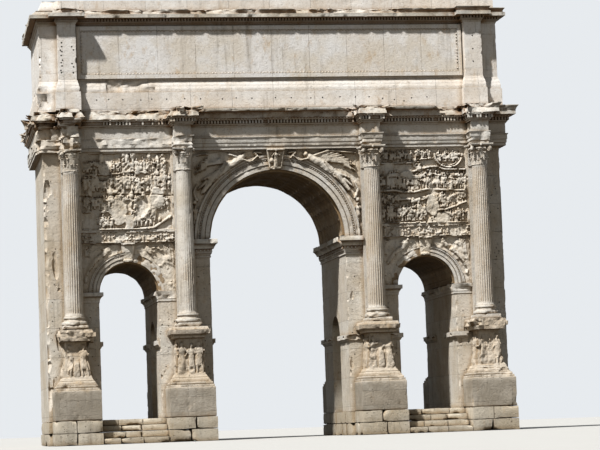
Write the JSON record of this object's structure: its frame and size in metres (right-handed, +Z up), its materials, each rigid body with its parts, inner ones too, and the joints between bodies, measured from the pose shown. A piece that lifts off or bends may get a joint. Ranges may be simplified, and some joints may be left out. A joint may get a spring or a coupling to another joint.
{
  "type": "triumphal arch",
  "caption": "Three-bay marble triumphal arch with columns on pedestals, a breaking entablature, relief bays and a tall hollow attic.",
  "frame": {"origin": "on the ground, at the middle of the rectangle that the whole arch covers", "axes": "+X along the faces to the right as seen from the front, +Y from the front face to the back face, +Z up"},
  "size_m": [25.07, 11.33, 22.08],
  "materials": {
    "socle": "weathered travertine",
    "steps": "weathered travertine",
    "pier": "weathered marble ashlar",
    "vault": "weathered marble ashlar",
    "carving": "eroded carved marble",
    "moulding": "weathered marble",
    "pedestal": "eroded carved marble",
    "column": "fluted marble",
    "entablature": "weathered marble",
    "attic": "weathered marble",
    "panel": "weathered marble slabs",
    "roof": "weathered stone slabs",
    "core": "rubble masonry"
  },
  "bodies": {
    "root": {"attic_base_moulding": "attic", "attic_cornice": "attic", "attic_end_walls": "attic", "attic_parapet": "attic", "attic_pilasters": "attic", "attic_plinth": "attic", "attic_roof": "roof", "attic_wall_back": "attic", "attic_wall_front": "attic", "central_archivolts": "moulding", "central_imposts": "moulding", "central_vault": "vault", "column_bases_back": "column", "column_bases_front": "column", "column_capitals_back": "column", "column_capitals_front": "column", "column_shafts_back": "column", "column_shafts_front": "column", "inner_pier_left": "pier", "inner_pier_right": "pier", "inscription_panels": "panel", "keystones_back": "carving", "keystones_front": "carving", "main_architrave": "entablature", "main_cornice": "entablature", "main_frieze": "entablature", "outer_pier_left": "pier", "outer_pier_right": "pier", "pedestals_back": "pedestal", "pedestals_front": "pedestal", "relief_bands": "carving", "relief_panels_back": "carving", "relief_panels_front": "carving", "side_archivolts": "moulding", "side_imposts_left": "moulding", "side_imposts_right": "moulding", "side_vault_left": "vault", "side_vault_right": "vault", "socle_left": "socle", "socle_right": "socle", "steps_back": "steps", "steps_front": "steps", "string_courses": "moulding", "upper_fill": "core", "wall_pilasters_back": "column", "wall_pilasters_front": "column"}
  },
  "joints": []
}
